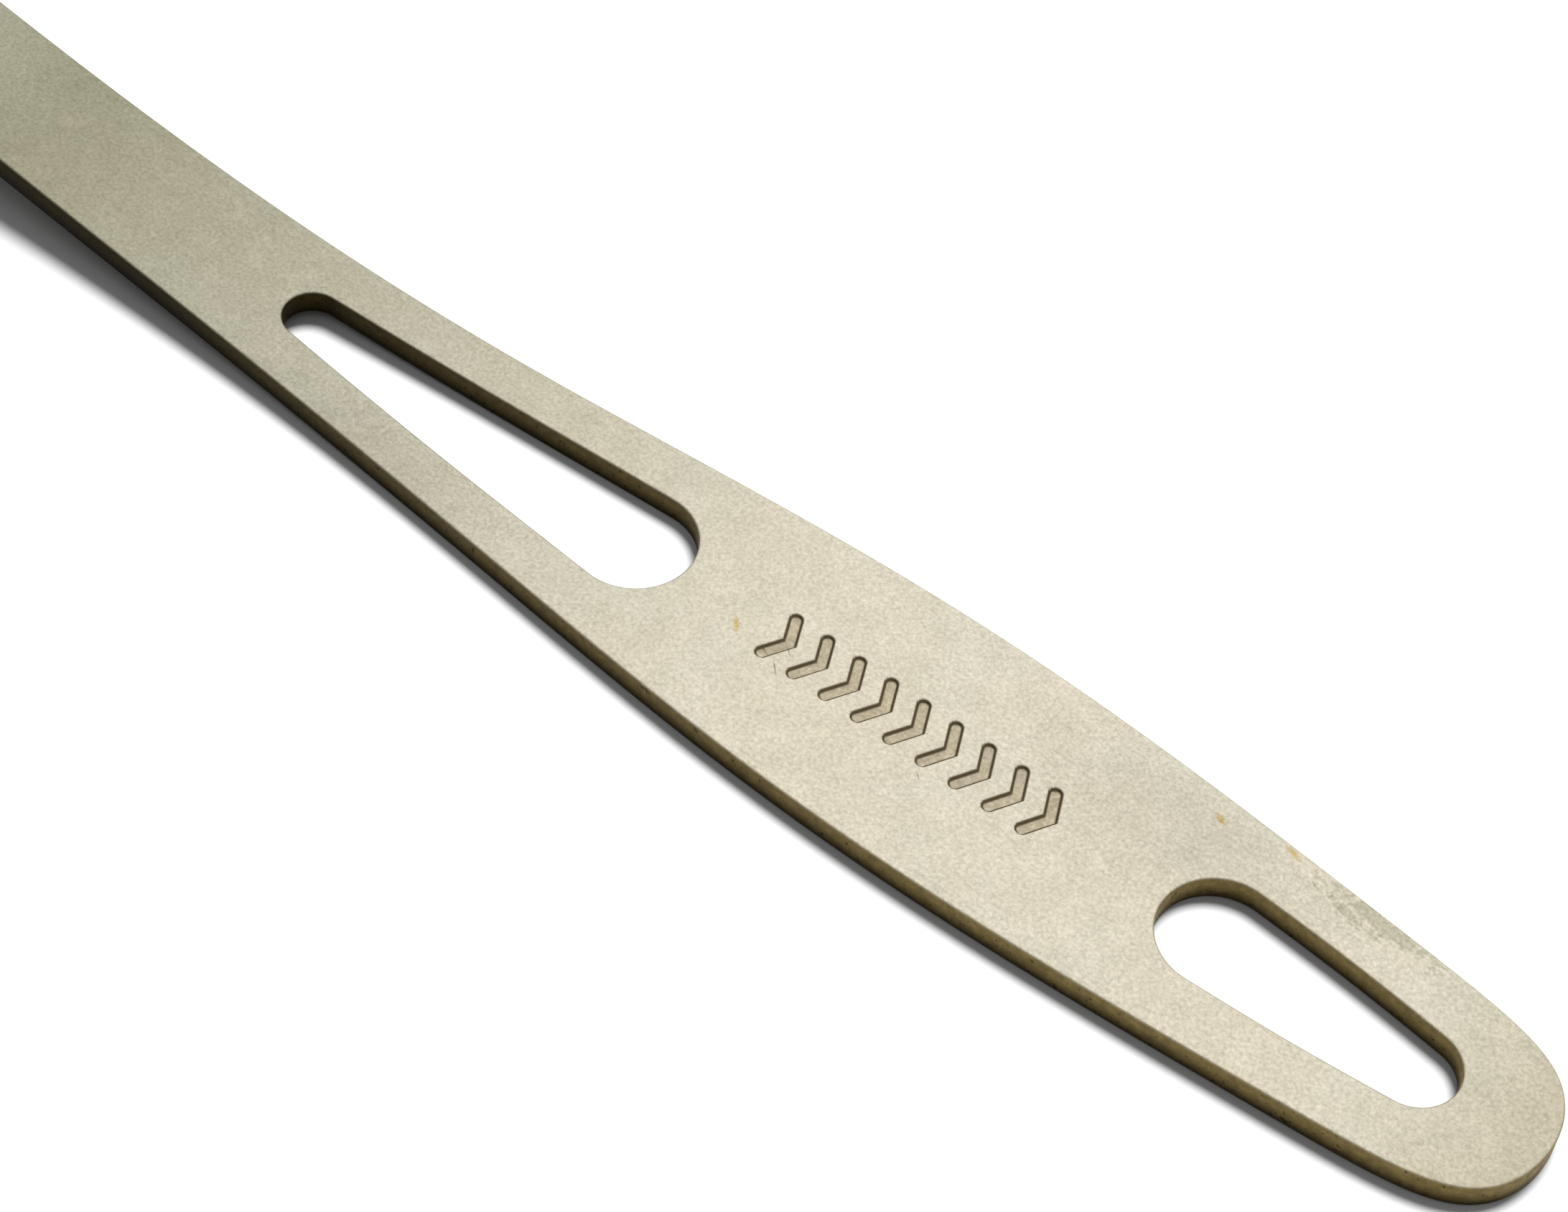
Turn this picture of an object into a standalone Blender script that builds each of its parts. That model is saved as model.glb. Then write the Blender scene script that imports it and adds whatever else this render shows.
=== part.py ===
"""A one-piece camping spork pressed from a single sheet of titanium.

The row frame has +X along the handle towards its hanging tip, +Z up and the
origin on the surface that the spork lies on, under the middle of its box.
Inside the functions, s is the distance from the hanging tip towards the
tines and y is the distance from the centre line.
"""

import bpy
import math
import numpy as np
from mathutils import Vector
from mathutils.geometry import delaunay_2d_cdt

MM = 0.001

# The sheet, and its two stretches: from the hanging tip to the bowl, and from there to the tines' ends
SHEET_THICKNESS = 1.5 * MM
HANDLE_LENGTH = 106.0 * MM
BOWL_LENGTH = 62.0 * MM

# The handle's outline: a leaf that is widest at the belly and narrows to a neck
BELLY_WIDTH = 14.5 * MM
BELLY_FROM_TIP = 35.0 * MM
BELLY_FALL_TO_TIP = 31.6 * MM
BELLY_FALL_TO_NECK = 30.2 * MM
NECK_WIDTH = 7.75 * MM
TIP_RADIUS = 6.0 * MM

# The hanging slot near the tip: its round ends and the rails left beside them
HANGING_SLOT_NARROW_FROM_TIP = 7.0 * MM
HANGING_SLOT_NARROW_RAIL = 3.15 * MM
HANGING_SLOT_WIDE_FROM_TIP = 17.7 * MM
HANGING_SLOT_WIDE_RAIL = 3.3 * MM
HANGING_SLOT_BOW = 0.1 * MM

# The long slot towards the neck
NECK_SLOT_WIDE_FROM_TIP = 53.3 * MM
NECK_SLOT_WIDE_RAIL = 3.0 * MM
NECK_SLOT_NARROW_FROM_TIP = 75.3 * MM
NECK_SLOT_NARROW_RAIL = 2.85 * MM
NECK_SLOT_BOW = 0.03 * MM

# The bowl's outline: an egg whose narrow end runs into the neck and whose wide end is cut by the tines
BOWL_WIDTH = 37.0 * MM
BOWL_BACK_LENGTH = 34.0 * MM
BOWL_BACK_FULLNESS = 0.85
EGG_PAST_TINES = 17.5 * MM
SHOULDER_SHARPNESS = 2.2

# The tines and the gaps between them, measured at the tines' ends
TINE_FRONT_RADIUS = 42.0 * MM
TINE_GAP_COUNT = 3
INNER_TINE_WIDTH = 3.2 * MM
OUTER_TINE_WIDTH = 4.3 * MM
TINE_GAP_ROOT = 3.0 * MM
TINE_GAP_DEPTH = 11.0 * MM
TINE_END_RADIUS = 1.25 * MM
TINE_OUTER_RADIUS = 2.6 * MM

# The side profile: a level handle, an upward arc in the neck, a flatter arc back over the bowl
RISE_BEFORE_BOWL = 46.0 * MM
RISE_RADIUS = 300.0 * MM
CREST_PAST_NECK = 2.0 * MM
CREST_RADIUS = 450.0 * MM

# The dish pressed into the bowl: an oval that starts at the crest and reaches past the bowl's own edges
DISH_BACK_LENGTH = 33.0 * MM
DISH_PAST_TINES = 9.0 * MM
DISH_PAST_RIM = 3.5 * MM
DISH_FULLNESS = 1.5

# How finely the solid is faceted
TIP_STEPS = 14
TIP_ZONE = 9.0 * MM
HANDLE_STEP = 3.6 * MM
BOWL_STEP = 2.0 * MM
ARC_STEPS = 16
CORNER_STEPS = 6
INNER_GRID = 2.3 * MM
EDGE_CLEARANCE = 0.62
PATTERN_TOLERANCE = 1e-5
NORMAL_STEP = 0.01 * MM
DISH_SAMPLES = 400
SHARP_ANGLE = 35.0

TITANIUM_COLOUR = (0.62, 0.58, 0.47, 1.0)
TITANIUM_ROUGHNESS = 0.42
TITANIUM_METALLIC = 0.85

# Places along the sheet that follow from the sizes above
OVERALL_LENGTH = HANDLE_LENGTH + BOWL_LENGTH
BOWL_MIDDLE = HANDLE_LENGTH + BOWL_BACK_LENGTH
BOWL_FRONT_LENGTH = OVERALL_LENGTH - BOWL_MIDDLE + EGG_PAST_TINES
RISE_START = HANDLE_LENGTH - RISE_BEFORE_BOWL
CREST = HANDLE_LENGTH + CREST_PAST_NECK
DISH_MIDDLE = CREST + DISH_BACK_LENGTH
DISH_FRONT_LENGTH = OVERALL_LENGTH - DISH_MIDDLE + DISH_PAST_TINES
DISH_HALF_WIDTH = BOWL_WIDTH / 2 + DISH_PAST_RIM


def clear_scene():
    for obj in list(bpy.data.objects):
        bpy.data.objects.remove(obj, do_unlink=True)


def handle_half_width(s):
    """Half the neck's width, plus a bell that peaks at the belly, closed by a rounded tip."""
    fall = np.where(s < BELLY_FROM_TIP, BELLY_FALL_TO_TIP, BELLY_FALL_TO_NECK)
    swell = (BELLY_WIDTH - NECK_WIDTH) / 2
    leaf = NECK_WIDTH / 2 + swell * np.exp(-(((s - BELLY_FROM_TIP) / fall) ** 2))
    blunt_end = NECK_WIDTH / 2 + swell * math.exp(-((BELLY_FROM_TIP / BELLY_FALL_TO_TIP) ** 2))
    rounding = blunt_end**2 / (2 * TIP_RADIUS)
    return leaf * np.sqrt(1 - np.exp(-s / rounding))


def bowl_half_width(s):
    behind = np.clip((BOWL_MIDDLE - s) / BOWL_BACK_LENGTH, 0, 1)
    ahead = np.clip((s - BOWL_MIDDLE) / BOWL_FRONT_LENGTH, 0, 1)
    egg = (1 - behind**2) ** BOWL_BACK_FULLNESS * np.sqrt(1 - ahead**2)
    return BOWL_WIDTH / 2 * egg


def half_width(s):
    """The handle's and the bowl's half-widths, joined by a smooth maximum."""
    handle = handle_half_width(s) ** SHOULDER_SHARPNESS
    bowl = bowl_half_width(s) ** SHOULDER_SHARPNESS
    return (handle + bowl) ** (1 / SHOULDER_SHARPNESS)


def spine_rise(s):
    """How far the middle line has risen: level, then an upward arc, then a flatter arc back."""
    along_rise = np.clip(s - RISE_START, 0, CREST - RISE_START)
    past_crest = np.clip(s - CREST, 0, None)
    slope = (CREST - RISE_START) / RISE_RADIUS
    return along_rise**2 / (2 * RISE_RADIUS) + slope * past_crest - past_crest**2 / (2 * CREST_RADIUS)


def dish_share(s, y):
    """1 at the deepest point of the dish, falling to 0 at the oval's edge."""
    offset = s - DISH_MIDDLE
    along = offset / np.where(offset < 0, DISH_BACK_LENGTH, DISH_FRONT_LENGTH)
    share = np.clip(1 - along**2 - (y / DISH_HALF_WIDTH) ** 2, 0, None)
    return share**DISH_FULLNESS


def dish_depth():
    """The depth at which the bowl's underside just reaches the surface that the handle lies on."""
    from_back = DISH_MIDDLE - DISH_BACK_LENGTH / 2
    to_front = DISH_MIDDLE + DISH_FRONT_LENGTH / 2
    s = np.linspace(from_back, to_front, DISH_SAMPLES)
    return float(np.min(spine_rise(s) / dish_share(s, np.zeros_like(s))))


DISH_DEPTH = dish_depth()


def top_height(s, y):
    return SHEET_THICKNESS + spine_rise(s) - DISH_DEPTH * dish_share(s, y)


def arc_points(centre_s, radius, start, end, steps):
    """Points on a circle about the centre line, angles in radians from the +s direction."""
    angle = np.linspace(start, end, steps + 1)
    return np.column_stack((centre_s + radius * np.cos(angle), radius * np.sin(angle)))


def slot_outline(tip_side, tip_side_rail, neck_side, neck_side_rail, bow):
    """Two round ends and the two sides that touch both, bowed outwards by the given amount."""
    near_radius = float(handle_half_width(tip_side)) - tip_side_rail
    far_radius = float(handle_half_width(neck_side)) - neck_side_rail
    lean = math.asin((near_radius - far_radius) / (neck_side - tip_side))
    touch = math.pi / 2 - lean
    near_end = arc_points(tip_side, near_radius, touch, 2 * math.pi - touch, ARC_STEPS)
    far_end = arc_points(neck_side, far_radius, -touch, touch, ARC_STEPS)
    steps = max(2, round((neck_side - tip_side) / HANDLE_STEP))
    share = np.linspace(0, 1, steps + 1)[1:-1, None]
    lower = near_end[-1] + share * (far_end[0] - near_end[-1])
    upper = far_end[-1] + share * (near_end[0] - far_end[-1])
    swell = bow * np.sin(math.pi * share[:, 0])
    lower[:, 1] -= swell
    upper[:, 1] += swell
    return np.vstack((near_end, lower, far_end, upper))


def rounded(corners):
    """A path through (s, y, radius) corners, each turned into an arc that touches both of its sides."""
    path = [np.array([corners[0][:2]])]
    for before, corner, after in zip(corners, corners[1:], corners[2:]):
        here = np.array(corner[:2])
        back = np.array(before[:2]) - here
        on = np.array(after[:2]) - here
        back /= np.linalg.norm(back)
        on /= np.linalg.norm(on)
        half_angle = math.acos(float(np.clip(back @ on, -1, 1))) / 2
        reach = corner[2] / math.tan(half_angle)
        first = here + back * reach
        middle = here + (back + on) / np.linalg.norm(back + on) * corner[2] / math.sin(half_angle)
        start = math.atan2(*(first - middle)[::-1])
        last = here + on * reach
        turn = (math.atan2(*(last - middle)[::-1]) - start + math.pi) % (2 * math.pi) - math.pi
        angle = start + turn * np.linspace(0, 1, CORNER_STEPS + 1)
        path.append(middle + corner[2] * np.column_stack((np.cos(angle), np.sin(angle))))
    path.append(np.array([corners[-1][:2]]))
    return np.vstack(path)


def front_edge(y):
    """Where the tines end, on a wide arc across the bowl."""
    return OVERALL_LENGTH - TINE_FRONT_RADIUS + math.sqrt(TINE_FRONT_RADIUS**2 - y**2)


def tine_half():
    """The front from the centre line out to the bowl's side, on the +y half, as (s, y, radius) corners."""
    root_radius = min(TINE_GAP_ROOT / 2, TINE_END_RADIUS)
    outer = float(bowl_half_width(OVERALL_LENGTH - TINE_OUTER_RADIUS))
    tines = 2 * OUTER_TINE_WIDTH + (TINE_GAP_COUNT - 1) * INNER_TINE_WIDTH
    mouth = (2 * outer - tines) / TINE_GAP_COUNT
    pitch = mouth + INNER_TINE_WIDTH
    corners = []
    for k in range(TINE_GAP_COUNT):
        middle = (k - (TINE_GAP_COUNT - 1) / 2) * pitch
        root = front_edge(middle) - TINE_GAP_DEPTH
        corners += [
            (front_edge(middle - mouth / 2), middle - mouth / 2, TINE_END_RADIUS),
            (root, middle - TINE_GAP_ROOT / 2, root_radius),
            (root, middle + TINE_GAP_ROOT / 2, root_radius),
            (front_edge(middle + mouth / 2), middle + mouth / 2, TINE_END_RADIUS),
        ]
    side_start = OVERALL_LENGTH - TINE_GAP_DEPTH
    corners.append((front_edge(outer), outer, TINE_OUTER_RADIUS))
    corners.append((side_start, float(half_width(side_start)), 0.0))
    return [corner for corner in corners if corner[1] > 0]


def sheet_outline():
    """The whole flat outline, counter-clockwise from the hanging tip in (s, y)."""
    half = tine_half()
    mirrored = [(s, -y, r) for s, y, r in half[::-1]]
    front = rounded(mirrored + half)
    side_end = front[0, 0]
    tip = TIP_ZONE * (np.arange(TIP_STEPS) / TIP_STEPS) ** 2
    shoulder = HANDLE_LENGTH - HANDLE_STEP
    handle_count = round((shoulder - TIP_ZONE) / HANDLE_STEP)
    handle = np.linspace(TIP_ZONE, shoulder, handle_count, endpoint=False)
    bowl_count = round((side_end - shoulder) / BOWL_STEP)
    bowl = np.linspace(shoulder, side_end, bowl_count, endpoint=False)
    s = np.concatenate((tip, handle, bowl))
    lower = np.column_stack((s, -half_width(s)))
    upper = np.column_stack((s, half_width(s)))[:0:-1]
    return np.vstack((lower, front, upper))


def inside(points, loop):
    """Even-odd test of many points against one closed loop."""
    s, y = points[:, 0, None], points[:, 1, None]
    a, b = loop, np.roll(loop, -1, axis=0)
    crosses = (a[:, 1] > y) != (b[:, 1] > y)
    rise = np.where(b[:, 1] == a[:, 1], 1.0, b[:, 1] - a[:, 1])
    meets = a[:, 0] + (y - a[:, 1]) / rise * (b[:, 0] - a[:, 0])
    return (crosses & (s < meets)).sum(axis=1) % 2 == 1


def distance_to(points, loop):
    a, b = loop, np.roll(loop, -1, axis=0)
    along = b - a
    share = ((points[:, None] - a) * along).sum(axis=2) / (along**2).sum(axis=1)
    nearest = a + np.clip(share, 0, 1)[:, :, None] * along
    return np.linalg.norm(points[:, None] - nearest, axis=2).min(axis=1)


def inner_points(loops):
    """Staggered points over the curved stretch, none of them close to an edge."""
    rows = np.arange(RISE_START, OVERALL_LENGTH, INNER_GRID)
    across = np.arange(-BOWL_WIDTH / 2, BOWL_WIDTH / 2, INNER_GRID)
    s, y = np.meshgrid(rows, across, indexing="ij")
    y = y + np.where(np.arange(len(rows)) % 2 == 0, 0.0, INNER_GRID / 2)[:, None]
    points = np.column_stack((s.ravel(), y.ravel()))
    keep = inside(points, loops[0])
    for loop in loops:
        keep &= distance_to(points, loop) > EDGE_CLEARANCE * INNER_GRID
    for slot in loops[1:]:
        keep &= ~inside(points, slot)
    return points[keep]


def flat_pattern(loops):
    """The flat pattern as triangles, counter-clockwise in (s, y): its points and its faces."""
    points = np.vstack(loops + [inner_points(loops)])
    edges = []
    for loop in loops:
        first = len(edges)
        edges += [(first + k, first + (k + 1) % len(loop)) for k in range(len(loop))]
    flat = [Vector((s / MM, y / MM)) for s, y in points]
    found, _, faces, *_ = delaunay_2d_cdt(flat, edges, [], 0, PATTERN_TOLERANCE)
    points = np.array(found) * MM
    faces = np.array(faces)
    middles = points[faces].mean(axis=1)
    keep = inside(middles, loops[0])
    for slot in loops[1:]:
        keep &= ~inside(middles, slot)
    return points, faces[keep]


def surface_normal(s, y):
    """The upward normal of the top face, in (s, y, z), from small steps either way."""
    step = NORMAL_STEP
    along = (top_height(s + step, y) - top_height(s - step, y)) / (2 * step)
    across = (top_height(s, y + step) - top_height(s, y - step)) / (2 * step)
    normal = np.column_stack((-along, -across, np.ones_like(s)))
    return normal / np.linalg.norm(normal, axis=1)[:, None]


def open_edges(faces):
    """The directed edges that only one triangle has: the sheet's outline and its slots."""
    directed = np.vstack((faces[:, [0, 1]], faces[:, [1, 2]], faces[:, [2, 0]]))
    known = {tuple(edge) for edge in directed.tolist()}
    return [edge for edge in directed.tolist() if (edge[1], edge[0]) not in known]


def to_row_frame(points):
    """From (s, y, z) to the row's axes, a half turn about +Z, with the box centred in X and Y."""
    turned = points * np.array((-1.0, -1.0, 1.0))
    middle = (turned.min(axis=0) + turned.max(axis=0)) / 2
    middle[2] = 0.0
    return turned - middle


def pressed_sheet(name, loops):
    """The flat pattern raised to the top face, its offset copy below, and a wall along every edge."""
    plan, faces = flat_pattern(loops)
    s, y = plan[:, 0], plan[:, 1]
    top = np.column_stack((s, y, top_height(s, y)))
    bottom = top - SHEET_THICKNESS * surface_normal(s, y)
    count = len(plan)
    walls = [(b, a, a + count, b + count) for a, b in open_edges(faces)]
    underside = faces[:, ::-1] + count
    points = to_row_frame(np.vstack((top, bottom)))
    mesh = bpy.data.meshes.new(name)
    mesh.from_pydata(points.tolist(), [], faces.tolist() + underside.tolist() + walls)
    mesh.validate()
    mesh.shade_smooth()
    mesh.set_sharp_from_angle(angle=math.radians(SHARP_ANGLE))
    return mesh


def titanium():
    material = bpy.data.materials.new("bead_blasted_titanium")
    material.use_nodes = True
    shader = material.node_tree.nodes["Principled BSDF"]
    shader.inputs["Base Color"].default_value = TITANIUM_COLOUR
    shader.inputs["Roughness"].default_value = TITANIUM_ROUGHNESS
    shader.inputs["Metallic"].default_value = TITANIUM_METALLIC
    return material


def make_spork():
    hanging_slot = slot_outline(
        HANGING_SLOT_NARROW_FROM_TIP,
        HANGING_SLOT_NARROW_RAIL,
        HANGING_SLOT_WIDE_FROM_TIP,
        HANGING_SLOT_WIDE_RAIL,
        HANGING_SLOT_BOW,
    )
    neck_slot = slot_outline(
        NECK_SLOT_WIDE_FROM_TIP,
        NECK_SLOT_WIDE_RAIL,
        NECK_SLOT_NARROW_FROM_TIP,
        NECK_SLOT_NARROW_RAIL,
        NECK_SLOT_BOW,
    )
    mesh = pressed_sheet("titanium_spork", [sheet_outline(), hanging_slot, neck_slot])
    mesh.materials.append(titanium())
    spork = bpy.data.objects.new("titanium_spork", mesh)
    bpy.context.scene.collection.objects.link(spork)


clear_scene()
make_spork()
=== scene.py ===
# The looks of a one-piece titanium camping spork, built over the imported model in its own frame.
import math

import bmesh
import bpy
import numpy as np
from mathutils import Matrix, Vector


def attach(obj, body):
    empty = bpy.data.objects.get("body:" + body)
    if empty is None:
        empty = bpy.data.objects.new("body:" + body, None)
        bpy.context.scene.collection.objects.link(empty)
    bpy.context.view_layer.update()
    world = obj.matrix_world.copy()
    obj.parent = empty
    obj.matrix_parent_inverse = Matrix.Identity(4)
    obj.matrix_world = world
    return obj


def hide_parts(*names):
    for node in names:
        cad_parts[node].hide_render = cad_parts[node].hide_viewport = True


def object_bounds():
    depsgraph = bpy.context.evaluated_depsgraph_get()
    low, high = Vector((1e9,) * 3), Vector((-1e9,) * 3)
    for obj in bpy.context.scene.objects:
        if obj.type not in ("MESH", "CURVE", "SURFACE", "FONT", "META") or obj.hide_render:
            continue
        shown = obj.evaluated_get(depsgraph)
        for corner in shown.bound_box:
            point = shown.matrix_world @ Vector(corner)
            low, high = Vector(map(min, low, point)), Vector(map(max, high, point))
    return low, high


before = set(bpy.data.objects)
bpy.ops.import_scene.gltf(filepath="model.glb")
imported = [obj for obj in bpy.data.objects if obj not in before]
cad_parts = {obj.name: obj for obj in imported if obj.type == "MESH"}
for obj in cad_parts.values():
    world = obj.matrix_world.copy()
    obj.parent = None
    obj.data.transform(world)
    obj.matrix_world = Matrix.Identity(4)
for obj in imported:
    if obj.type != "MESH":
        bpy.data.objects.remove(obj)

cadLow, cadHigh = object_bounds()
mm = 0.001
tipX = cadHigh.x        # the hanging tip is the model's +X end
baseZ = cadLow.z        # the surface that the spork lies on
white = (1.0, 1.0, 1.0)

# Along the sheet, s runs from the hanging tip towards the tines and y from the centre line outwards.
sheet = {
    "thickness": 1.5 * mm,
    "handleLength": 106.0 * mm,
    "bowlLength": 62.0 * mm,
}
edge = {
    "radius": 0.12 * mm,          # the tumbled edge that the blasting leaves
    "arcSteps": 3,
    "wallSteps": 3,
    "flat": 0.09 * mm,            # a strip of level face beside the rounding
}
leaf = {
    "bellyWidth": 14.5 * mm,
    "bellyAt": 35.0 * mm,
    "fallToTip": 31.6 * mm,
    "fallToNeck": 30.2 * mm,
    "neckWidth": 7.75 * mm,
    "tipRadius": 6.0 * mm,
}
hangingSlot = {
    "tipSide": 7.0 * mm, "tipRail": 3.15 * mm,
    "neckSide": 17.7 * mm, "neckRail": 3.3 * mm,
    "bow": 0.1 * mm,
    "arcSteps": 18, "sideSteps": 24,
    "reach": 2.6 * mm,            # how far past the slot's ends its grid lines meet the outline
}
neckSlot = {
    "tipSide": 53.3 * mm, "tipRail": 3.0 * mm,
    "neckSide": 75.3 * mm, "neckRail": 2.85 * mm,
    "bow": 0.03 * mm,
    "arcSteps": 16, "sideSteps": 36,
    "reach": 2.0 * mm,
}
bowl = {
    "width": 37.0 * mm,
    "backLength": 34.0 * mm,
    "backFullness": 0.85,
    "eggPastTines": 17.5 * mm,
    "shoulderSharpness": 2.2,
    "rampLength": 19.0 * mm,      # the stretch where the grid bends to meet the tines' roots
}
tines = {
    "frontRadius": 42.0 * mm,
    "gapCount": 3,
    "innerWidth": 3.2 * mm,
    "outerWidth": 4.3 * mm,
    "gapRoot": 3.0 * mm,
    "gapDepth": 11.0 * mm,
    "endRadius": 1.25 * mm,
    "outerRadius": 2.6 * mm,
    "sideSteps": 16,
    "frontSteps": 3,
    "arcSteps": 6,
}
profile = {
    "riseBeforeBowl": 46.0 * mm,
    "riseRadius": 300.0 * mm,
    "crestPastNeck": 2.0 * mm,
    "crestRadius": 450.0 * mm,
    "dishBack": 33.0 * mm,
    "dishPastTines": 9.0 * mm,
    "dishPastRim": 3.5 * mm,
    "dishFullness": 1.5,
}
mark = {                          # a plain row of stamped chevrons on the belly
    "firstAt": 27.5 * mm,
    "count": 9,
    "pitch": 1.98 * mm,
    "halfHeight": 1.55 * mm,
    "lean": 0.5,                  # how far an arm runs along the handle for each step across it
    "strokeHalf": 0.21 * mm,
    "wall": 0.20 * mm,
    "depth": 0.19 * mm,
    "crease": 0.12 * mm,          # grid rows beside the floor's middle, its edge and the wall's top
    "floorMargin": 0.04 * mm,
    "wallMargin": 0.06 * mm,
    "clear": 0.15 * mm,           # how far past the arms' ends the fine columns reach
    "armSteps": 6, "endSteps": 16,
}
gridRows = {"tip": 22, "bellyIn": 8, "bellyOut": 10, "bowlBack": 78, "bowlFront": 22}
sampling = {"outline": 2000, "dish": 400, "slopeStep": 0.01 * mm}
meshing = {"merge": 0.002 * mm, "sliver": 0.001 * mm}

overall = sheet["handleLength"] + sheet["bowlLength"]
bowlMiddle = sheet["handleLength"] + bowl["backLength"]
bowlFront = overall - bowlMiddle + bowl["eggPastTines"]
riseStart = sheet["handleLength"] - profile["riseBeforeBowl"]
crest = sheet["handleLength"] + profile["crestPastNeck"]
dishMiddle = crest + profile["dishBack"]
dishFront = overall - dishMiddle + profile["dishPastTines"]
dishHalf = bowl["width"] / 2 + profile["dishPastRim"]
sideEnd = overall - tines["gapDepth"]


def smooth(t):  # 0 below t = 0, 1 above t = 1, and 3t^2 - 2t^3 between
    t = np.clip(t, 0, 1)
    return t * t * (3 - 2 * t)


def handleHalf(s):  # half the neck, plus a bell over the belly, times a root that rounds the tip
    fall = np.where(s < leaf["bellyAt"], leaf["fallToTip"], leaf["fallToNeck"])
    swell = (leaf["bellyWidth"] - leaf["neckWidth"]) / 2
    bell = leaf["neckWidth"] / 2 + swell * np.exp(-(((s - leaf["bellyAt"]) / fall) ** 2))
    blunt = leaf["neckWidth"] / 2 + swell * math.exp(-((leaf["bellyAt"] / leaf["fallToTip"]) ** 2))
    return bell * np.sqrt(1 - np.exp(-s * 2 * leaf["tipRadius"] / blunt**2))


def bowlHalf(s):  # an egg: a power of (1 - u^2) behind its middle, an ellipse ahead of it
    behind = np.clip((bowlMiddle - s) / bowl["backLength"], 0, 1)
    ahead = np.clip((s - bowlMiddle) / bowlFront, 0, 1)
    return bowl["width"] / 2 * (1 - behind**2) ** bowl["backFullness"] * np.sqrt(1 - ahead**2)


def outlineHalf(s):  # handle and bowl joined by a smooth maximum
    power = bowl["shoulderSharpness"]
    return (handleHalf(s) ** power + bowlHalf(s) ** power) ** (1 / power)


def spineRise(s):  # level, then rising as s^2/2R to the crest, then bending back with a wider R
    rising = np.clip(s - riseStart, 0, crest - riseStart)
    past = np.clip(s - crest, 0, None)
    slope = (crest - riseStart) / profile["riseRadius"]
    bend = rising**2 / (2 * profile["riseRadius"])
    return bend + slope * past - past**2 / (2 * profile["crestRadius"])


def dishShare(s, y):  # a power of 1 - (s/a)^2 - (y/b)^2: 1 at the deepest point, 0 at the oval's edge
    offset = s - dishMiddle
    along = offset / np.where(offset < 0, profile["dishBack"], dishFront)
    return np.clip(1 - along**2 - (y / dishHalf) ** 2, 0, None) ** profile["dishFullness"]


# The dish goes as deep as the sheet rises, so that the bowl's underside just touches the table.
dishLine = np.linspace(dishMiddle - profile["dishBack"] / 2, dishMiddle + dishFront / 2, sampling["dish"])
dishDepth = np.min(spineRise(dishLine) / dishShare(dishLine, 0 * dishLine))


def topHeight(s, y):  # the sheet's thickness plus the spine's rise, less the dish
    return sheet["thickness"] + spineRise(s) - dishDepth * dishShare(s, y)


def sheetPoints(s, y, depth):  # the top face's point, moved back along the face's own normal by depth
    step = sampling["slopeStep"]
    along = (topHeight(s + step, y) - topHeight(s - step, y)) / (2 * step)
    across = (topHeight(s, y + step) - topHeight(s, y - step)) / (2 * step)
    length = np.sqrt(1 + along**2 + across**2)
    return np.stack((
        tipX - s - depth * along / length,
        y + depth * across / length,
        baseZ + topHeight(s, y) - depth / length,
    ), axis=-1)


def unit(v):  # each vector over its own length
    return v / np.linalg.norm(v, axis=-1, keepdims=True)


def pathNormals(path, side, first, last):
    # Halfway between the two edges that meet at each point, turned a quarter to the given side.
    run = unit(np.diff(path, axis=0))
    run = unit(np.vstack((run[:1], run[:-1] + run[1:], run[-1:])))
    normal = side * np.column_stack((-run[:, 1], run[:, 0]))
    normal[0], normal[-1] = first, last
    return normal


def along(path, shares):  # points at the given shares of a path's length
    travelled = np.concatenate(([0.0], np.cumsum(np.linalg.norm(np.diff(path, axis=0), axis=1))))
    wanted = np.asarray(shares) * travelled[-1]
    return np.column_stack([np.interp(wanted, travelled, path[:, k]) for k in range(2)])


def line(start, end, steps):  # evenly spaced points from start to end
    return np.linspace(np.asarray(start), np.asarray(end), steps + 1)


def arc(middle, radius, start, end, steps):  # middle + radius (cos a, sin a), evenly between two angles
    angle = np.linspace(start, end, steps + 1)
    return np.asarray(middle) + radius * np.column_stack((np.cos(angle), np.sin(angle)))


def joined(*parts):  # paths that follow each other, with each shared point kept once
    return np.vstack([parts[0]] + [part[1:] for part in parts[1:]])


def slotHalf(slot):  # the +y half of a slot: two circles' arcs and the bowed tangent between them
    radii = [float(handleHalf(np.float64(slot[end]))) - slot[rail]
             for end, rail in (("tipSide", "tipRail"), ("neckSide", "neckRail"))]
    touch = math.acos((radii[0] - radii[1]) / (slot["neckSide"] - slot["tipSide"]))
    tipEnd = arc((slot["tipSide"], 0), radii[0], math.pi, touch, slot["arcSteps"])
    neckEnd = arc((slot["neckSide"], 0), radii[1], touch, 0, slot["arcSteps"])
    side = line(tipEnd[-1], neckEnd[0], slot["sideSteps"])
    side[:, 1] += slot["bow"] * np.sin(math.pi * np.linspace(0, 1, len(side)))
    half = joined(tipEnd, side, neckEnd)
    half[0, 1] = half[-1, 1] = 0
    return half


def outlinePath(start, end, shares):
    # The handle's and bowl's edge between two s values, at shares of its length; samples crowd at the tip.
    s = start + (end - start) * np.linspace(0, 1, sampling["outline"]) ** (2 if start == 0 else 1)
    return along(np.column_stack((s, outlineHalf(s))), shares)


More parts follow.
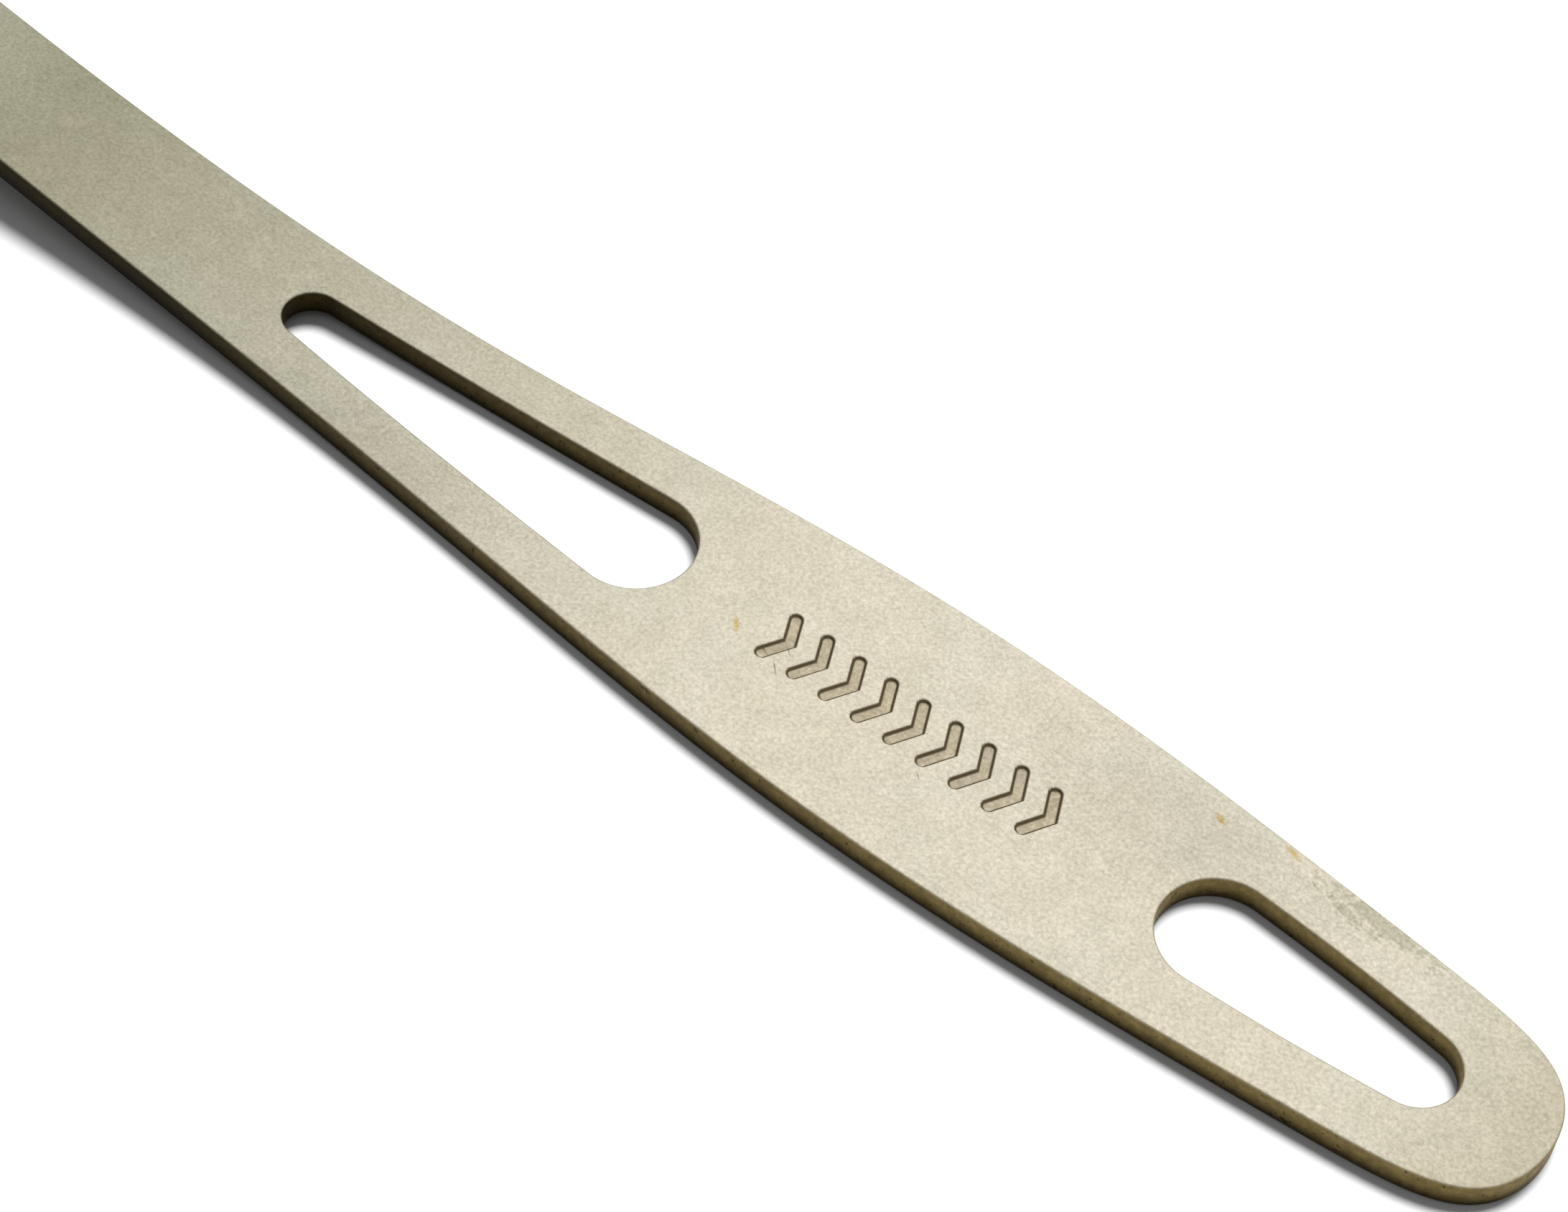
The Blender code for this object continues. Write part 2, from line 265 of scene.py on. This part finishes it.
def cornerArc(before, here, after, radius, steps):  # the arc that touches both sides of a corner
    back, on = unit(np.asarray(before) - here), unit(np.asarray(after) - here)
    half = math.acos(float(np.clip(back @ on, -1, 1))) / 2
    middle = here + unit(back + on) * radius / math.sin(half)
    first = here + back * radius / math.tan(half) - middle
    last = here + on * radius / math.tan(half) - middle
    start = math.atan2(first[1], first[0])
    turn = (math.atan2(last[1], last[0]) - start + math.pi) % (2 * math.pi) - math.pi
    return arc(middle, radius, start, start + turn, steps)


def patch(bottom, top, left, right):
    # A sheet between four paths: both ruled surfaces added, less the plane through the four corners.
    u = np.linspace(0, 1, len(bottom))[None, :, None]
    v = np.linspace(0, 1, len(left))[:, None, None]
    u = np.broadcast_to(u, (len(left), len(bottom), 1))
    ruled = (1 - v) * bottom[None] + v * top[None] + (1 - u) * left[:, None] + u * right[:, None]
    corners = ((1 - u) * (1 - v) * bottom[0] + u * (1 - v) * bottom[-1]
               + (1 - u) * v * top[0] + u * v * top[-1])
    return ruled - corners


def frontEdge(y):  # the wide arc that the tines end on
    return overall - tines["frontRadius"] + math.sqrt(tines["frontRadius"] ** 2 - y**2)


print("titanium spork: outline and profile worked out")

# The tines' corners on the +y half, in order from the centre line.
gapCount, gapRoot, arcSteps = tines["gapCount"], tines["gapRoot"], tines["arcSteps"]
rootRadius = min(gapRoot / 2, tines["endRadius"])
outerY = float(bowlHalf(np.float64(overall - tines["outerRadius"])))
tineWidths = 2 * tines["outerWidth"] + (gapCount - 1) * tines["innerWidth"]
mouth = (2 * outerY - tineWidths) / gapCount
pitch = mouth + tines["innerWidth"]
middleRoot = frontEdge(0) - tines["gapDepth"]
sideRoot = frontEdge(pitch) - tines["gapDepth"]
sideFoot = (sideEnd, float(outlineHalf(np.float64(sideEnd))))
middleFoot = (middleRoot, 0.0)
cornerPoints = [
    middleFoot,
    (middleRoot, gapRoot / 2, rootRadius),
    (frontEdge(mouth / 2), mouth / 2, tines["endRadius"]),
    (frontEdge(pitch - mouth / 2), pitch - mouth / 2, tines["endRadius"]),
    (sideRoot, pitch - gapRoot / 2, rootRadius),
    (sideRoot, pitch + gapRoot / 2, rootRadius),
    (frontEdge(pitch + mouth / 2), pitch + mouth / 2, tines["endRadius"]),
    (frontEdge(outerY), outerY, tines["outerRadius"]),
    sideFoot,
]
arcs = [cornerArc(before[:2], here[:2], after[:2], here[2], arcSteps)
        for before, here, after in zip(cornerPoints, cornerPoints[1:], cornerPoints[2:])]
half = arcSteps // 2
side, front = tines["sideSteps"], tines["frontSteps"]
outerPaths = {                    # the edge from the bowl's side to the centre line, in order
    "outerRight": joined(line(sideFoot, arcs[6][-1], side), arcs[6][:half - 1:-1]),
    "outerFront": joined(arcs[6][half::-1], line(arcs[6][0], arcs[5][-1], front), arcs[5][:half - 1:-1]),
    "outerLeft": joined(arcs[5][half::-1], line(arcs[5][0], arcs[4][-1], side)),
    "sideGap": joined(arcs[4][::-1], line(arcs[4][0], arcs[3][-1], 1), arcs[3][::-1]),
    "innerRight": joined(line(arcs[3][0], arcs[2][-1], side), arcs[2][:half - 1:-1]),
    "innerFront": joined(arcs[2][half::-1], line(arcs[2][0], arcs[1][-1], front), arcs[1][:half - 1:-1]),
    "innerLeft": joined(arcs[1][half::-1], line(arcs[1][0], arcs[0][-1], side)),
    "middleGap": joined(arcs[0][::-1], line(arcs[0][0], middleFoot, 1)),
}
rootSteps, acrossSteps = arcSteps + 1, 2 * half + front
columnCount = rootSteps + acrossSteps + (2 * arcSteps + 1) + acrossSteps

# The marks' grid rows follow the chevrons' arms, and their columns close up at the arms' round ends.
slant = math.hypot(1, mark["lean"])
wallTop = mark["strokeHalf"] + mark["wall"]
stepsOut = np.array([mark["crease"], mark["strokeHalf"] - mark["floorMargin"], mark["strokeHalf"],
                     mark["strokeHalf"] + mark["wall"] / 2, wallTop, wallTop + mark["wallMargin"]]) * slant
period = np.concatenate(([-mark["pitch"] / 2], -stepsOut[::-1], [0], stepsOut))
markAt = mark["firstAt"] + mark["pitch"] * np.arange(mark["count"])
markRows = np.append((markAt[:, None] + period).ravel(), markAt[-1] + mark["pitch"] / 2)
markNearest = np.append(np.repeat(markAt, len(period)), markAt[-1])
armEnd = mark["halfHeight"] - mark["strokeHalf"]
capY = armEnd - mark["clear"]
clearY = mark["halfHeight"] + mark["wall"] + mark["clear"]
markColumns = np.concatenate((np.linspace(0, capY, mark["armSteps"] + 1)[:-1],
                              np.linspace(capY, clearY, mark["endSteps"] + 1)))
markOuter = markRows + mark["lean"] * clearY

inset = edge["radius"] + edge["flat"]
hangingPath, neckPath = slotHalf(hangingSlot), slotHalf(neckSlot)
slotEnds = [hangingPath[0, 0], hangingPath[-1, 0], neckPath[0, 0], neckPath[-1, 0]]


def lengthShares(path):  # how much of its length a path has covered at each point
    steps = np.linalg.norm(np.diff(path, axis=0), axis=1)
    return np.concatenate(([0.0], np.cumsum(steps))) / steps.sum()


def even(steps):  # equal shares from 0 to 1
    return np.linspace(0, 1, steps + 1)


# The edge's stops along s, and how the grid rows between two stops are shared out.
outlineStops = [0.0, slotEnds[0] - hangingSlot["reach"], slotEnds[1] + hangingSlot["reach"],
                markOuter[0], markOuter[-1],
                slotEnds[2] - neckSlot["reach"], slotEnds[3] + neckSlot["reach"],
                sideEnd - bowl["rampLength"], sideEnd]
outlineShares = [even(gridRows["tip"]), lengthShares(hangingPath), even(gridRows["bellyIn"]), None,
                 even(gridRows["bellyOut"]), lengthShares(neckPath),
                 even(gridRows["bowlBack"]), even(gridRows["bowlFront"])]
outlineParts = [
    np.column_stack((markOuter, outlineHalf(markOuter))) if shares is None
    else outlinePath(first, last, shares)
    for first, last, shares in zip(outlineStops, outlineStops[1:], outlineShares)
]
outerLoop = joined(*outlineParts, *outerPaths.values())
outerLoop[0] = 0
outerNormals = pathNormals(outerLoop, -1, (1, 0), (-1, 0))
hangingNormals = pathNormals(hangingPath, 1, (-1, 0), (1, 0))
neckNormals = pathNormals(neckPath, 1, (-1, 0), (1, 0))
rim = outerLoop + inset * outerNormals
counts = [len(part) - 1 for part in outlineParts] + [len(part) - 1 for part in outerPaths.values()]
starts = np.concatenate(([0], np.cumsum(counts)))
rims = [rim[a:b + 1] for a, b in zip(starts, starts[1:])]
rimOf = dict(zip(outerPaths, rims[len(outlineParts):]))


def centreLine(start, end, steps):  # points on y = 0
    return line((start, 0), (end, 0), steps)


def acrossTine(name):  # a row over a tine's root, from its left side to its right
    return line(rimOf[name + "Left"][-1], rimOf[name + "Right"][0], acrossSteps)


def spanRow(left, right):  # a row with every column of the grid
    return line(left, right, columnCount)


markClear = np.stack(np.broadcast_arrays(
    markRows[:, None] + mark["lean"] * markColumns, markColumns), axis=-1)
markRest = np.linspace(markClear[:, -1], rims[3], columnCount + 2 - len(markColumns), axis=1)
markGrid = np.concatenate((markClear, markRest[:, 1:]), axis=1)

hangingRim = hangingPath + inset * hangingNormals
neckRim = neckPath + inset * neckNormals
rootLine = joined(rimOf["middleGap"][::-1], acrossTine("inner"), rimOf["sideGap"][::-1], acrossTine("outer"))
tipRow = np.repeat(rims[0][:1], columnCount + 1, axis=0)
rowsAt = {
    "hangingStart": spanRow(hangingRim[0], rims[1][0]),
    "hangingEnd": spanRow(hangingRim[-1], rims[1][-1]),
    "neckStart": spanRow(neckRim[0], rims[5][0]),
    "neckEnd": spanRow(neckRim[-1], rims[5][-1]),
    "rampStart": spanRow((sideEnd - bowl["rampLength"], 0), rims[6][-1]),
}
flatPatches = [
    patch(tipRow, rowsAt["hangingStart"],
          centreLine(rims[0][0, 0], hangingRim[0, 0], gridRows["tip"]), rims[0]),
    patch(rowsAt["hangingStart"], rowsAt["hangingEnd"], hangingRim, rims[1]),
    patch(rowsAt["hangingEnd"], markGrid[0],
          centreLine(hangingRim[-1, 0], markRows[0], gridRows["bellyIn"]), rims[2]),
    markGrid,
    patch(markGrid[-1], rowsAt["neckStart"],
          centreLine(markRows[-1], neckRim[0, 0], gridRows["bellyOut"]), rims[4]),
    patch(rowsAt["neckStart"], rowsAt["neckEnd"], neckRim, rims[5]),
    patch(rowsAt["neckEnd"], rowsAt["rampStart"],
          centreLine(neckRim[-1, 0], sideEnd - bowl["rampLength"], gridRows["bowlBack"]), rims[6]),
    patch(rowsAt["rampStart"], rootLine,
          centreLine(sideEnd - bowl["rampLength"], rims[-1][-1, 0], gridRows["bowlFront"]), rims[7]),
] + [
    patch(acrossTine(name), rimOf[name + "Front"][::-1], rimOf[name + "Left"][::-1], rimOf[name + "Right"])
    for name in ("inner", "outer")
]


def stampShare(s, y):
    # 1 on a chevron's floor and 0 outside its wall, by the distance to a round-ended arm.
    apart = s - markNearest[:, None]
    alongArm = (apart * mark["lean"] + y) / slant
    acrossArm = (apart - mark["lean"] * y) / slant
    past = np.clip(alongArm - armEnd * slant, 0, None)
    return 1 - smooth((np.hypot(past, acrossArm) - mark["strokeHalf"]) / mark["wall"])


def edgeStrip(path, normals):
    # The edge's profile carried along a path: a quarter round, the wall square to the sheet, a quarter round.
    turn = np.linspace(0, math.pi / 2, edge["arcSteps"] + 1)
    roundIn = edge["radius"] * (1 - np.sin(turn))
    roundDown = edge["radius"] * (1 - np.cos(turn))
    wall = np.linspace(edge["radius"], sheet["thickness"] - edge["radius"], edge["wallSteps"] + 1)[1:-1]
    inwards = np.concatenate(([inset], roundIn, 0 * wall, roundIn[::-1], [inset]))
    down = np.concatenate(([0], roundDown, wall, sheet["thickness"] - roundDown[::-1], [sheet["thickness"]]))
    cut = np.concatenate(([0], np.sin(turn) ** 2, 0 * wall + 1, np.sin(turn[::-1]) ** 2, [0]))
    flat = path[:, None] + inwards[:, None] * normals[:, None]
    points = sheetPoints(flat[..., 0], flat[..., 1], down)
    none = 0 * points[..., 0]
    return points, {"cutFace": cut + none, "cutDepth": down / sheet["thickness"] + none, "stamped": none}


grids = [edgeStrip(outerLoop, outerNormals), edgeStrip(hangingPath, hangingNormals),
         edgeStrip(neckPath, neckNormals)]
for flat in flatPatches:
    s, y = flat[..., 0], flat[..., 1]
    none = 0 * s
    stamp = stampShare(s, y) if flat is markGrid else none
    for depth, stamped, cutDepth in ((mark["depth"] * stamp, stamp, 0), (sheet["thickness"], none, 1)):
        grids.append((sheetPoints(s, y, depth),
                      {"cutFace": none, "cutDepth": cutDepth + none, "stamped": stamped}))


def meshFromGrids(name, grids):
    # Each grid's neighbouring points make its quads; a copy mirrored across the centre line is joined on.
    points, quads, first = [], [], 0
    for grid, _ in grids:
        rows, columns = grid.shape[:2]
        index = first + np.arange(rows * columns).reshape(rows, columns)
        corners = (index[:-1, :-1], index[1:, :-1], index[1:, 1:], index[:-1, 1:])
        quads.append(np.stack(corners, axis=-1).reshape(-1, 4))
        points.append(grid.reshape(-1, 3))
        first += rows * columns
    points, quads = np.vstack(points), np.vstack(quads)
    points = np.vstack((points, points * (1, -1, 1)))
    quads = np.vstack((quads, quads[:, ::-1] + first))
    mesh = bpy.data.meshes.new(name)
    mesh.from_pydata(points.tolist(), [], quads.tolist())
    for attribute in grids[0][1]:
        layer = mesh.attributes.new(attribute, "FLOAT", "POINT")
        values = np.concatenate([np.ravel(shares[attribute]) for _, shares in grids])
        layer.data.foreach_set("value", np.tile(values, 2).astype(np.float32))
    work = bmesh.new()
    work.from_mesh(mesh)
    bmesh.ops.remove_doubles(work, verts=work.verts, dist=meshing["merge"])
    bmesh.ops.dissolve_degenerate(work, edges=work.edges, dist=meshing["sliver"])
    bmesh.ops.recalc_face_normals(work, faces=work.faces)
    for face in work.faces:
        face.smooth = True
    openEdges = sum(not e.is_manifold for e in work.edges)
    work.to_mesh(mesh)
    work.free()
    print(name, "faces:", len(mesh.polygons), "open edges:", openEdges)
    return mesh


spork = bpy.data.objects.new("titanium_spork_sheet", meshFromGrids("titanium_spork_sheet", grids))
bpy.context.scene.collection.objects.link(spork)

titanium = {
    "warm": (0.603, 0.557, 0.452), "cool": (0.598, 0.565, 0.474),
    "cloudRange": (0.36, 0.64),
    "roughness": (0.54, 0.46),        # at the grain's low and high spots
    "roughnessRange": (0.3, 0.7),
    "bump": 0.25, "bumpDepth": 0.02 * mm,
}
neckShade = {                              # painted shade: the skin darkens from the belly towards the bent neck
    "shadeTint": (0.50, 0.515, 0.455),
    "from": tipX - 45 * mm, "most": tipX - 95 * mm, "to": tipX - 130 * mm,
    "cleared": 0.75,                  # how much of the painted shade eases off again over the bowl
}
# painted shade: the skin darkens over the last millimetres to the tip
tipShade = {"tint": (0.84, 0.825, 0.77), "from": tipX - 9 * mm, "to": tipX - 1 * mm}
cutWall = {                           # partly the cut edge's own brown and partly painted shade, much darker towards the neck
    "tip": (0.204, 0.155, 0.060), "neck": (0.020, 0.014, 0.003),
    "from": tipX - 25 * mm, "to": tipX - 82 * mm,
    # painted light and shade: a lighter top and a painted contact shadow at the foot
    "top": (1.12, 1.12, 1.12), "footShadow": (0.22, 0.20, 0.17),
    "footShadowFrom": 0.35,                 # the share of the thickness above the painted contact shadow at the foot
    "roughness": 0.62,
}
# the marks' wall colour is painted shade
stamp = {
    "wall": (0.075, 0.053, 0.022), "wallShare": (0, 0.28), "wallStrength": 0.95,
    "floorLow": (0.66, 0.62, 0.54), "floorHigh": (0.86, 0.82, 0.75), "floorRange": (0.35, 0.65),
}
noises = {                            # scale, detail, roughness
    "grain": (5200, 3, 0.7),
    "clouds": (110, 4, 0.55),
    "patches": (520, 5, 0.68),
    "nicks": (2300, 5, 0.7),
    "pits": (3600, 2, 0.5),
    "torn": (1300, 4, 0.7),
}
shades = {                            # a noise's range and the tints at its two ends
    "patches": (0.3, 0.7, (0.925, 0.925, 0.91), (1.045, 1.045, 1.045)),
    "grain": (0.25, 0.75, (0.75, 0.74, 0.71), (1.14, 1.14, 1.13)),
    "nicks": (0.3, 0.7, (0.66, 0.65, 0.64), (1.20, 1.19, 1.17)),
    "pits": (0.64, 0.70, white, (0.35, 0.34, 0.32)),
}
markTints = {
    "stain": (0.77, 0.78, 0.74),
    "rust": (0.90, 0.72, 0.42),
    "scratch": (0.50, 0.47, 0.42),
    "darkerPatch": (0.90, 0.905, 0.91),
    "core": 0.35,                     # the share of a mark that is fully tinted
}
skinZ = baseZ + sheet["thickness"]
skinMarks = [                    # centre, half sizes, turn in degrees, raggedness, tint
    # two broad, slightly darker patches, then stains, rust specks and hairline scratches
    ((tipX - 22.5 * mm, 3.4 * mm, skinZ), (10.0 * mm, 4.6 * mm, 3 * mm), 0, 1.2, "darkerPatch"),
    ((tipX - 68.0 * mm, -4.6 * mm, skinZ), (10.0 * mm, 2.6 * mm, 3 * mm), 4, 1.2, "darkerPatch"),
    ((tipX - 12.4 * mm, 5.45 * mm, skinZ), (4.4 * mm, 0.60 * mm, 1 * mm), -5, 3.0, "stain"),
    ((tipX - 13.6 * mm, 4.85 * mm, skinZ), (2.0 * mm, 0.35 * mm, 1 * mm), -8, 2.6, "stain"),
    ((tipX - 46.0 * mm, -0.88 * mm, skinZ), (0.17 * mm, 0.75 * mm, 1 * mm), 40, 0.9, "rust"),
    ((tipX - 21.4 * mm, 5.35 * mm, skinZ), (0.5 * mm, 0.22 * mm, 1 * mm), -20, 0.9, "rust"),
    ((tipX - 17.7 * mm, 6.0 * mm, skinZ), (0.65 * mm, 0.18 * mm, 1 * mm), -20, 0.9, "rust"),
    ((tipX - 44.0 * mm, -1.1 * mm, skinZ), (0.045 * mm, 0.45 * mm, 1 * mm), 70, 0.6, "scratch"),
    ((tipX - 43.1 * mm, -0.4 * mm, skinZ), (0.045 * mm, 0.65 * mm, 1 * mm), 50, 0.6, "scratch"),
    ((tipX - 42.9 * mm, -1.7 * mm, skinZ), (0.045 * mm, 0.65 * mm, 1 * mm), 46, 0.6, "scratch"),
    ((tipX - 33.7 * mm, -2.2 * mm, skinZ), (0.04 * mm, 0.32 * mm, 1 * mm), 50, 0.6, "scratch"),
]


def addNode(tree, kind, **values):
    node = tree.nodes.new(kind)
    for key, value in values.items():
        if key in node.inputs:
            node.inputs[key].default_value = value
        else:
            setattr(node, key, value)
    return node


def makeTitanium():
    material = bpy.data.materials.new("blasted titanium")
    material.use_nodes = True
    tree = material.node_tree
    shader = tree.nodes["Principled BSDF"]
    shader.inputs["Metallic"].default_value = 1.0
    place = addNode(tree, "ShaderNodeTexCoord").outputs["Object"]

    def noise(kind):
        scale, detail, roughness = noises[kind]
        node = addNode(tree, "ShaderNodeTexNoise", Scale=scale, Detail=detail, Roughness=roughness)
        tree.links.new(place, node.inputs["Vector"])
        return node.outputs["Fac"]

    def attribute(name):
        return addNode(tree, "ShaderNodeAttribute", attribute_name=name).outputs["Fac"]

    def spread(value, low, high, toLow=0, toHigh=1):  # a straight line between two values, level outside
        node = addNode(tree, "ShaderNodeMapRange")
        for name, number in (("From Min", low), ("From Max", high), ("To Min", toLow), ("To Max", toHigh)):
            node.inputs[name].default_value = number
        tree.links.new(value, node.inputs["Value"])
        return node.outputs["Result"]

    def mix(factor, first, second, blend="MIX"):
        node = addNode(tree, "ShaderNodeMix", data_type="RGBA", blend_type=blend)
        for socket, value in ((node.inputs[0], factor), (node.inputs[6], first), (node.inputs[7], second)):
            if isinstance(value, bpy.types.NodeSocket):
                tree.links.new(value, socket)
            elif isinstance(value, tuple):
                socket.default_value = (*value, 1)
            else:
                socket.default_value = value
        return node.outputs[2]

    def tinted(colour, tint):
        return mix(1.0, colour, tint, "MULTIPLY")

    def shaded(colour, value, kind):
        low, high, lowTint, highTint = shades[kind]
        return tinted(colour, mix(spread(value, low, high), lowTint, highTint))

    def blot(centre, size, turn, ragged):  # 1 inside an oval on the skin, fading to a ragged edge
        fit = addNode(tree, "ShaderNodeMapping", vector_type="TEXTURE")
        fit.inputs["Location"].default_value = centre
        fit.inputs["Rotation"].default_value = (0, 0, math.radians(turn))
        fit.inputs["Scale"].default_value = size
        away = addNode(tree, "ShaderNodeVectorMath", operation="LENGTH")
        tree.links.new(place, fit.inputs["Vector"])
        tree.links.new(fit.outputs["Vector"], away.inputs[0])
        torn = addNode(tree, "ShaderNodeMath", operation="MULTIPLY_ADD")
        tree.links.new(noise("torn"), torn.inputs[0])
        torn.inputs[1].default_value = ragged
        tree.links.new(away.outputs["Value"], torn.inputs[2])
        return spread(torn.outputs[0], 1 + ragged / 2, markTints["core"] + ragged / 2)

    axes = addNode(tree, "ShaderNodeSeparateXYZ")
    tree.links.new(place, axes.inputs[0])
    x = axes.outputs["X"]

    # The skin: warm and cool clouds, a coarse and a fine grain, then painted shade darkening the bent neck
    # and the last millimetres of the tip.
    grain = noise("grain")
    colour = mix(spread(noise("clouds"), *titanium["cloudRange"]), titanium["warm"], titanium["cool"])
    colour = shaded(colour, noise("patches"), "patches")
    colour = shaded(colour, grain, "grain")
    shadeDeepening = spread(x, neckShade["from"], neckShade["most"])
    shadeEasing = spread(x, neckShade["most"], neckShade["to"], 0, neckShade["cleared"])
    colour = tinted(colour, mix(shadeDeepening, white, mix(shadeEasing, neckShade["shadeTint"], white)))
    colour = tinted(colour, mix(spread(x, tipShade["from"], tipShade["to"]), white, tipShade["tint"]))
    for centre, size, turn, ragged, tint in skinMarks:
        colour = mix(blot(centre, size, turn, ragged), colour, tinted(colour, markTints[tint]))

    # The cut walls: a brown that is partly their own and partly painted shade, nicked and pitted, with more
    # painted shade towards the neck, a painted lighter top and a painted contact shadow at the foot.
    cutFace = attribute("cutFace")
    cut = mix(spread(x, cutWall["from"], cutWall["to"]), cutWall["tip"],
              mix(shadeEasing, cutWall["neck"], cutWall["tip"]))
    nicks = noise("nicks")
    cut = shaded(cut, nicks, "nicks")
    cut = shaded(cut, noise("pits"), "pits")
    footShadow = spread(attribute("cutDepth"), cutWall["footShadowFrom"], 1)
    cut = tinted(cut, mix(footShadow, cutWall["top"], cutWall["footShadow"]))
    colour = mix(cutFace, colour, cut)

    # The stamped marks: a mottled floor, and painted shade on their walls where the share stamped is between
    # 0 and 1.
    stamped = attribute("stamped")
    slope = addNode(tree, "ShaderNodeMath", operation="PINGPONG")
    slope.inputs[1].default_value = 0.5
    tree.links.new(stamped, slope.inputs[0])
    mottled = mix(spread(nicks, *stamp["floorRange"]), stamp["floorLow"], stamp["floorHigh"])
    colour = tinted(colour, mix(stamped, white, mottled))
    wallShade = spread(slope.outputs[0], *stamp["wallShare"], 0, stamp["wallStrength"])
    colour = mix(wallShade, colour, stamp["wall"])
    tree.links.new(colour, shader.inputs["Base Color"])

    darkerPatch = addNode(tree, "ShaderNodeMix", data_type="FLOAT", B=cutWall["roughness"])
    tree.links.new(cutFace, darkerPatch.inputs["Factor"])
    tree.links.new(spread(grain, *titanium["roughnessRange"], *titanium["roughness"]), darkerPatch.inputs["A"])
    tree.links.new(darkerPatch.outputs["Result"], shader.inputs["Roughness"])
    bump = addNode(tree, "ShaderNodeBump", Strength=titanium["bump"], Distance=titanium["bumpDepth"])
    tree.links.new(grain, bump.inputs["Height"])
    tree.links.new(bump.outputs["Normal"], shader.inputs["Normal"])
    return material


spork.data.materials.append(makeTitanium())
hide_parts("titanium_spork")
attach(spork, "root")
print("titanium spork: sheet made")

view = {
    "target": (tipX - 45.0 * mm, 1.59 * mm, baseZ + 1.5 * mm),
    "distance": 175.9 * mm,
    "azimuth": 34.94,
    "elevation": 50.42,
    "roll": 5.55,
    "lens": 82.35, "sensor": 36, "clipStart": 0.01,
}
light = {                         # the lamp makes the shadows; its distance is only where it is drawn
    "azimuth": 190.0, "elevation": 66.0, "spread": 20.0, "power": 17.8, "distance": 0.7,
    "skyBehind": 1.45, "skyFront": 0.4,    # the studio is brighter behind the spork than in front
    "skyAzimuth": 195.0, "skyElevation": 45.0,
    "skyRange": (-0.6, 1.0),
}
ground = {"half": 30, "shade": 0.18, "roughness": 0.9}    # the lamp lifts this grey to white


def towards(azimuth, elevation):  # (sin a cos e, -cos a cos e, sin e): from the target to a viewer
    a, e = math.radians(azimuth), math.radians(elevation)
    return Vector((math.sin(a) * math.cos(e), -math.cos(a) * math.cos(e), math.sin(e)))


def aimed(name, data, target, direction, distance, roll=0.0):  # a camera or lamp that looks at the target
    thing = bpy.data.objects.new(name, data)
    turn = (-direction).to_track_quat("-Z", "Y").to_matrix() @ Matrix.Rotation(math.radians(roll), 3, "Z")
    thing.matrix_world = Matrix.Translation(target + direction * distance) @ turn.to_4x4()
    bpy.context.scene.collection.objects.link(thing)
    return thing


target = Vector(view["target"])
cameraData = bpy.data.cameras.new("camera")
cameraData.lens = view["lens"]
cameraData.sensor_width = view["sensor"]
cameraData.clip_start = view["clipStart"]
camera = aimed("camera", cameraData, target, towards(view["azimuth"], view["elevation"]),
               view["distance"], view["roll"])
bpy.context.scene.camera = camera

keyData = bpy.data.lights.new("key light", "SUN")
keyData.angle = math.radians(light["spread"])
keyData.energy = light["power"]
key = aimed("key light", keyData, target, towards(light["azimuth"], light["elevation"]), light["distance"])
key.visible_glossy = False        # the metal mirrors only the soft sky

world = bpy.data.worlds.new("studio")
world.use_nodes = True
sky = world.node_tree
background = sky.nodes["Background"]
background.inputs["Color"].default_value = (*white, 1)
skyCoordinates = addNode(sky, "ShaderNodeTexCoord")
facing = addNode(sky, "ShaderNodeVectorMath", operation="DOT_PRODUCT")
facing.inputs[1].default_value = towards(light["skyAzimuth"], light["skyElevation"])
strength = addNode(sky, "ShaderNodeMapRange", interpolation_type="SMOOTHSTEP")
for name, number in zip(("From Min", "From Max", "To Min", "To Max"),
                        (*light["skyRange"], light["skyFront"], light["skyBehind"])):
    strength.inputs[name].default_value = number
sky.links.new(skyCoordinates.outputs["Generated"], facing.inputs[0])
sky.links.new(facing.outputs["Value"], strength.inputs["Value"])
sky.links.new(strength.outputs["Result"], background.inputs["Strength"])
bpy.context.scene.world = world

floorMesh = bpy.data.meshes.new("floor")
floorCorners = [(ground["half"] * x, ground["half"] * y, baseZ)
                for x, y in ((-1, -1), (1, -1), (1, 1), (-1, 1))]
floorMesh.from_pydata(floorCorners, [], [(0, 1, 2, 3)])
floor = bpy.data.objects.new("floor", floorMesh)
bpy.context.scene.collection.objects.link(floor)
paper = bpy.data.materials.new("floor paper")
paper.use_nodes = True
paperShader = paper.node_tree.nodes["Principled BSDF"]
paperShader.inputs["Base Color"].default_value = (*[ground["shade"]] * 3, 1)
paperShader.inputs["Roughness"].default_value = ground["roughness"]
floorMesh.materials.append(paper)
bpy.context.scene.view_settings.view_transform = "Standard"
print("stage, light and camera placed")

bpy.context.view_layer.update()
